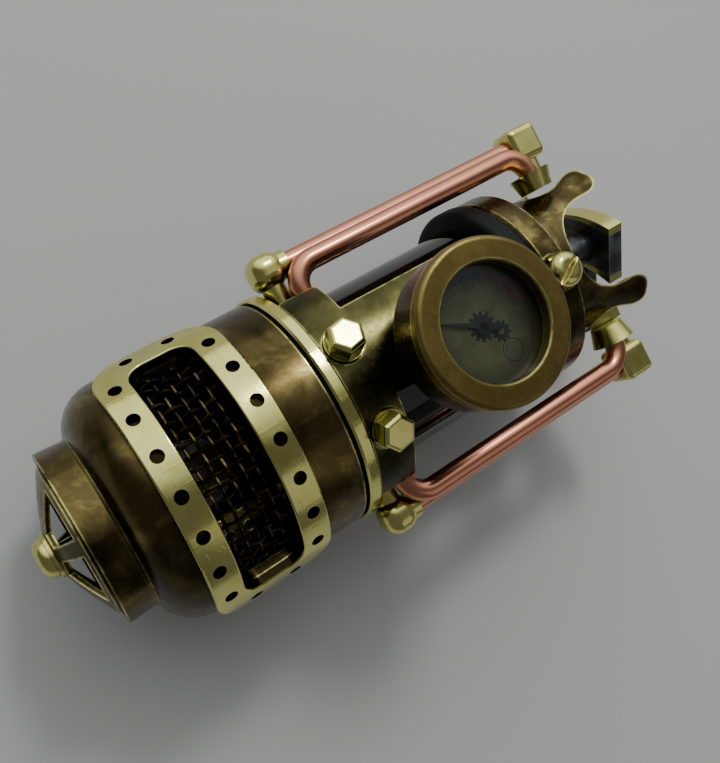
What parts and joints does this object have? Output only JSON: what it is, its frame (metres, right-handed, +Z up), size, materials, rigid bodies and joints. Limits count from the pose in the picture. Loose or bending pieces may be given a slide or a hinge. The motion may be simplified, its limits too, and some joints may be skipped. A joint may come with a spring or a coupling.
{
  "type": "flint wheel lighter",
  "caption": "Pocket flint wheel lighter styled as a small riveted lantern: pull-off cap with a gauze window, glass fuel tank, dial gauge, copper rails and a claw end.",
  "frame": {"origin": "below the middle of the lighter as it lies, on the plane that its flange touches", "axes": "+X along the lighter from the cap to the claw end, +Y across it, +Z up, out of the gauge's dial"},
  "size_m": [0.0894, 0.0396, 0.0419],
  "materials": {
    "patinated_brass": "dark mottled patina, worn bright along the edges",
    "polished_brass": "polished, slightly aged",
    "gauge_brass": "brown patina with polished edges",
    "plain_brass": "turned, untreated",
    "bronze_gauze": "dark woven wire",
    "copper": null,
    "black_rubber": "matt",
    "tank_glass": "smoky clear tube",
    "gauge_glass": "clear disc",
    "dial_paper": null,
    "needle_black": "matt black",
    "dark_steel": "dark, oiled",
    "flint_alloy": "ferrocerium rod",
    "wick_cotton": "braided cotton"
  },
  "bodies": {
    "tank": {"ball_elbow_left": "polished_brass", "ball_elbow_right": "polished_brass", "band_screw": "polished_brass", "block_elbow_left": "polished_brass", "block_elbow_right": "polished_brass", "chimney": "plain_brass", "claw_crown": "patinated_brass", "collar_band": "patinated_brass", "filler_screw": "plain_brass", "flint_spring": "dark_steel", "flint_tube": "plain_brass", "front_rail_left": "copper", "front_rail_right": "copper", "gauge_bezel": "gauge_brass", "gauge_case": "patinated_brass", "gauge_dial": "dial_paper", "gauge_glass": "gauge_glass", "gauge_movement": "plain_brass", "gauge_stem": "patinated_brass", "glass_seal_front": "black_rubber", "glass_seal_rear": "black_rubber", "neck_flange": "polished_brass", "rail_bracket_left": "polished_brass", "rail_bracket_right": "polished_brass", "rear_rail_left": "copper", "rear_rail_right": "copper", "rim_gasket": "black_rubber", "rubber_ring": "black_rubber", "saddle_bolts": "polished_brass", "saddle_plate": "patinated_brass", "saddle_washers": "polished_brass", "spigot_oring": "black_rubber", "tank_collar": "patinated_brass", "tank_end_cap": "patinated_brass", "tank_glass": "tank_glass", "wheel_axle": "dark_steel", "wheel_yoke": "plain_brass", "wick": "wick_cotton", "wick_tube": "plain_brass"},
    "cap": {"cap_shell": "patinated_brass", "window_frame": "polished_brass", "gauze": "bronze_gauze", "vent_spider": "patinated_brass", "vent_rivet": "polished_brass", "rivet_washer": "polished_brass"},
    "vent": {"vent_wheel": "patinated_brass"},
    "wheel": {"spark_wheel": "dark_steel", "thumb_wheels": "dark_steel"},
    "flint": {"flint": "flint_alloy", "flint_follower": "plain_brass"},
    "needle": {"gauge_needle": "needle_black", "gauge_arbor": "plain_brass"},
    "plug": {"flint_plug": "dark_steel", "plug_plate": "dark_steel", "plug_grips": "polished_brass", "cross_rod": "dark_steel"}
  },
  "joints": [
    {"name": "cap_pull", "type": "slide", "parent": "tank", "child": "cap", "axis": [-1, 0, 0], "range_m": [0, 0.03]},
    {"name": "vent_turn", "type": "hinge", "parent": "cap", "child": "vent", "pos_m": [-0.04152, 0, 0.0158], "axis": [1, 0, 0], "continuous": true},
    {"name": "wheel_spin", "type": "hinge", "parent": "tank", "child": "wheel", "pos_m": [-0.02502, 0, 0.0158], "axis": [0, 0, 1], "continuous": true},
    {"name": "flint_feed", "type": "slide", "parent": "tank", "child": "flint", "axis": [1, 0, 0], "range_m": [0, 0.002], "stiffness_N_per_m": 200, "springref_m": -0.002, "deforming": ["flint_spring"]},
    {"name": "needle_swing", "type": "hinge", "parent": "tank", "child": "needle", "pos_m": [0.00688, 0, 0.0378], "axis": [0, 0, 1], "range_deg": [-200, 70]},
    {"name": "plug_unscrew", "type": "slide", "parent": "tank", "child": "plug", "axis": [1, 0, 0], "range_m": [0, 0.012]}
  ]
}
